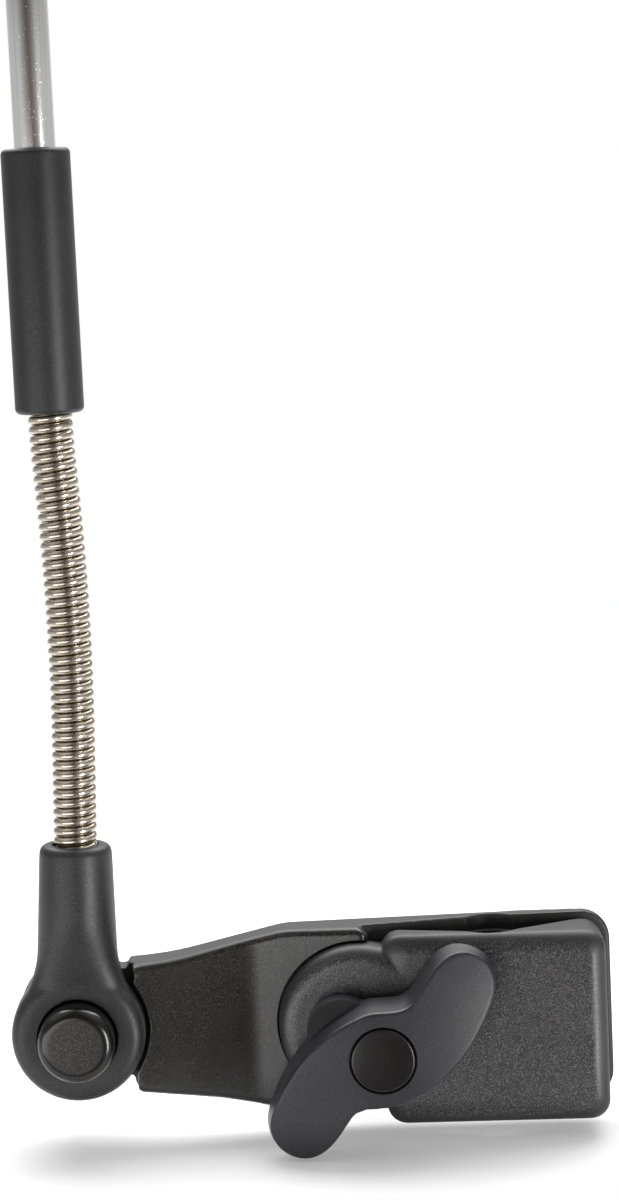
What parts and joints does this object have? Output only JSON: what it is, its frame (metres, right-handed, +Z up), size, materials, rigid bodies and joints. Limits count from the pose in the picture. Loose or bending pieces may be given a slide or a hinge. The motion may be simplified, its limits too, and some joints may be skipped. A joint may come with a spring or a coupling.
{
  "type": "pram parasol clamp and gooseneck",
  "caption": "Black tube clamp with wing knob and push-button tilt joint, carrying a plated coil gooseneck, sleeve and the open lower end of a parasol stick.",
  "frame": {"origin": "centre of the clamped tube, halfway up the jaw pads", "axes": "+X along the clamp arm away from the tilt joint, +Y away from the wing knob, through the jaws, +Z up along the clamped tube"},
  "size_m": [0.1485, 0.0571, 0.2941],
  "materials": {
    "clamp_plastic": "grained black moulding",
    "knob_plastic": "fine satin black-grey moulding",
    "cap_plastic": "smooth black cap",
    "soft_pad": "soft black rubber",
    "knuckle_plastic": "satin black moulding",
    "button_plastic": "textured dark grey moulding",
    "gear_plastic": "natural acetal",
    "zinc_steel": "zinc-plated steel",
    "spring_steel": "bright spring wire",
    "nickel_coil": "warm nickel-plated wire",
    "sleeve_plastic": "matt black moulding",
    "stick_chrome": "polished plated tube"
  },
  "bodies": {
    "clamp": {"clamp_arm": "clamp_plastic", "back_pad": "soft_pad", "screw_nut": "zinc_steel", "screw_shroud": "clamp_plastic", "pivot_bolt": "zinc_steel", "pivot_washer": "zinc_steel", "pivot_nut": "zinc_steel", "hub_cover": "cap_plastic", "jaw_spring": "spring_steel", "lock_spring": "spring_steel"},
    "jaw": {"front_jaw": "clamp_plastic", "front_pad": "soft_pad"},
    "knob": {"wing_knob": "knob_plastic", "knob_cap": "cap_plastic", "clamp_screw": "zinc_steel", "thrust_washer": "zinc_steel"},
    "knuckle": {"knuckle": "knuckle_plastic", "lower_ferrule": "zinc_steel", "lower_grub_screw": "zinc_steel", "neck_coil": "nickel_coil"},
    "button": {"release_button": "button_plastic"},
    "gear": {"lock_gear": "gear_plastic"},
    "neck_1": {"neck_core_1": "zinc_steel"},
    "neck_2": {"neck_core_2": "zinc_steel"},
    "neck_3": {"neck_core_3": "zinc_steel"},
    "neck_4": {"neck_core_4": "zinc_steel"},
    "neck_5": {"neck_core_5": "zinc_steel"},
    "neck_6": {"neck_core_6": "zinc_steel"},
    "neck_7": {"neck_core_7": "zinc_steel"},
    "upper": {"upper_ferrule": "zinc_steel", "sleeve": "sleeve_plastic", "stick_tube": "stick_chrome", "upper_grub_screw": "zinc_steel"}
  },
  "joints": [
    {"name": "knuckle_pivot", "type": "hinge", "parent": "clamp", "child": "knuckle", "pos_m": [-0.1023, 0, 0.0009], "axis": [0, -1, 0], "range_deg": [0, 180]},
    {"name": "button_press", "type": "slide", "parent": "knuckle", "child": "button", "axis": [0, 1, 0], "range_m": [0, 0.004], "stiffness_N_per_m": 900, "springref_m": -0.004, "deforming": ["lock_spring"]},
    {"name": "gear_slide", "type": "slide", "parent": "clamp", "child": "gear", "axis": [0, 1, 0], "range_m": [0, 0.004]},
    {"name": "jaw_slide", "type": "slide", "parent": "clamp", "child": "jaw", "axis": [0, -1, 0], "range_m": [0, 0.016], "deforming": ["jaw_spring"]},
    {"name": "knob_turn", "type": "hinge", "parent": "jaw", "child": "knob", "pos_m": [-0.0282, 0, -0.0034], "axis": [0, -1, 0], "range_deg": [0, 5760]},
    {"name": "neck_side_1", "type": "hinge", "parent": "knuckle", "child": "neck_1", "pos_m": [-0.10051, -0.0041, 0.05486], "axis": [0, -1, 0], "range_deg": [-20, 20], "deforming": ["neck_coil"]},
    {"name": "neck_fore_1", "type": "hinge", "parent": "neck_1", "child": "neck_2", "pos_m": [-0.10007, -0.0041, 0.06803], "axis": [0.9995, 0, -0.0332], "range_deg": [-20, 20], "deforming": ["neck_coil"]},
    {"name": "neck_side_2", "type": "hinge", "parent": "neck_2", "child": "neck_3", "pos_m": [-0.0997, -0.0041, 0.0812], "axis": [0, -1, 0], "range_deg": [-20, 20], "deforming": ["neck_coil"]},
    {"name": "neck_fore_2", "type": "hinge", "parent": "neck_3", "child": "neck_4", "pos_m": [-0.09955, -0.0041, 0.09437], "axis": [1, 0, -0.0017], "range_deg": [-20, 20], "deforming": ["neck_coil"]},
    {"name": "neck_side_3", "type": "hinge", "parent": "neck_4", "child": "neck_5", "pos_m": [-0.09965, -0.0041, 0.10754], "axis": [0, -1, 0], "range_deg": [-20, 20], "deforming": ["neck_coil"]},
    {"name": "neck_fore_3", "type": "hinge", "parent": "neck_5", "child": "neck_6", "pos_m": [-0.09999, -0.0041, 0.12071], "axis": [0.9994, 0, 0.0351], "range_deg": [-20, 20], "deforming": ["neck_coil"]},
    {"name": "neck_side_4", "type": "hinge", "parent": "neck_6", "child": "neck_7", "pos_m": [-0.10057, -0.0041, 0.13388], "axis": [0, -1, 0], "range_deg": [-20, 20], "deforming": ["neck_coil"]},
    {"name": "neck_fore_4", "type": "hinge", "parent": "neck_7", "child": "upper", "pos_m": [-0.10125, -0.0041, 0.14703], "axis": [0.9995, 0, 0.0313], "range_deg": [-20, 20], "deforming": ["neck_coil"]}
  ],
  "couplings": [
    {"joint": "gear_slide", "follows": "button_press", "ratio": 1},
    {"joint": "jaw_slide", "follows": "knob_turn", "m_per_rad": 0.00015915},
    {"joint": "neck_side_2", "follows": "neck_side_1", "ratio": 1},
    {"joint": "neck_fore_2", "follows": "neck_fore_1", "ratio": 1},
    {"joint": "neck_side_3", "follows": "neck_side_1", "ratio": 1},
    {"joint": "neck_fore_3", "follows": "neck_fore_1", "ratio": 1},
    {"joint": "neck_side_4", "follows": "neck_side_1", "ratio": 1},
    {"joint": "neck_fore_4", "follows": "neck_fore_1", "ratio": 1}
  ]
}
